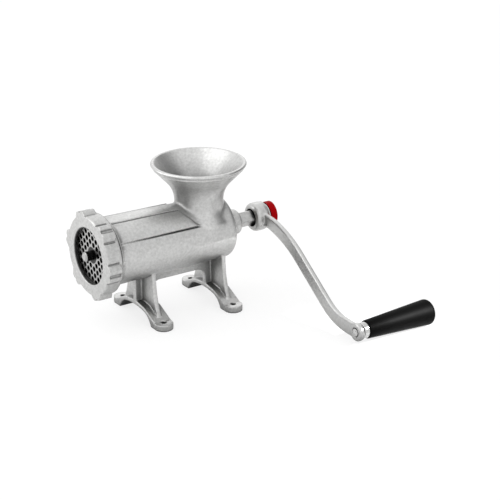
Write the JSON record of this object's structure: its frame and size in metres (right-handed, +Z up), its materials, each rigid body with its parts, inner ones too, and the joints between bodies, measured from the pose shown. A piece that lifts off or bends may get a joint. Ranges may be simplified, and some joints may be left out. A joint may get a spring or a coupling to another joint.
{
  "type": "hand crank meat grinder",
  "caption": "Bench mincer: footed cast barrel with flared hopper, screw, knife and holed plate held by a lobed ring nut, turned by a bent crank with a spinning grip.",
  "frame": {"origin": "on the bench, at the centre of the four foot holes", "axes": "+X along the screw axis from the outlet to the crank, +Z up"},
  "size_m": [0.3789, 0.3135, 0.196],
  "materials": {
    "tinned_casting": "tinned, satin",
    "tinned_forging": "tinned, satin",
    "ground_steel": "ground",
    "bronze": "turned",
    "red_plastic": "glossy",
    "black_plastic": "satin"
  },
  "bodies": {
    "housing": {"housing": "tinned_casting", "rear_bush": "bronze", "thrust_washer": "ground_steel", "plate_key_pin": "ground_steel"},
    "crank": {"auger": "tinned_casting", "auger_pin": "ground_steel", "knife": "ground_steel", "crank_arm": "tinned_forging", "grip_spindle": "ground_steel"},
    "grip": {"grip": "black_plastic", "ferrule": "ground_steel"},
    "plate": {"cutting_plate": "ground_steel"},
    "ring": {"ring_nut": "tinned_casting"},
    "washer": {"crank_washer": "ground_steel"},
    "knob": {"knob": "red_plastic", "knob_stud": "ground_steel"}
  },
  "joints": [
    {"name": "crank_turn", "type": "hinge", "parent": "housing", "child": "crank", "pos_m": [0, 0, 0.1005], "axis": [-1, 0, 0], "continuous": true},
    {"name": "grip_spin", "type": "hinge", "parent": "crank", "child": "grip", "pos_m": [0.19, -0.231, 0.0175], "axis": [1, 0, 0], "continuous": true},
    {"name": "plate_slide", "type": "slide", "parent": "housing", "child": "plate", "axis": [-1, 0, 0], "range_m": [0, 0.012]},
    {"name": "ring_turn", "type": "hinge", "parent": "plate", "child": "ring", "pos_m": [-0.12, 0, 0.1005], "axis": [-1, 0, 0], "range_deg": [0, 1440]},
    {"name": "washer_slide", "type": "slide", "parent": "crank", "child": "washer", "axis": [1, 0, 0], "range_m": [0, 0.012]},
    {"name": "knob_turn", "type": "hinge", "parent": "washer", "child": "knob", "pos_m": [0.15, 0, 0.1005], "axis": [1, 0, 0], "range_deg": [0, 2880]}
  ],
  "couplings": [
    {"joint": "plate_slide", "follows": "ring_turn", "m_per_rad": 0.00047746},
    {"joint": "knob_turn", "follows": "washer_slide", "rad_per_m": 4188.8}
  ]
}
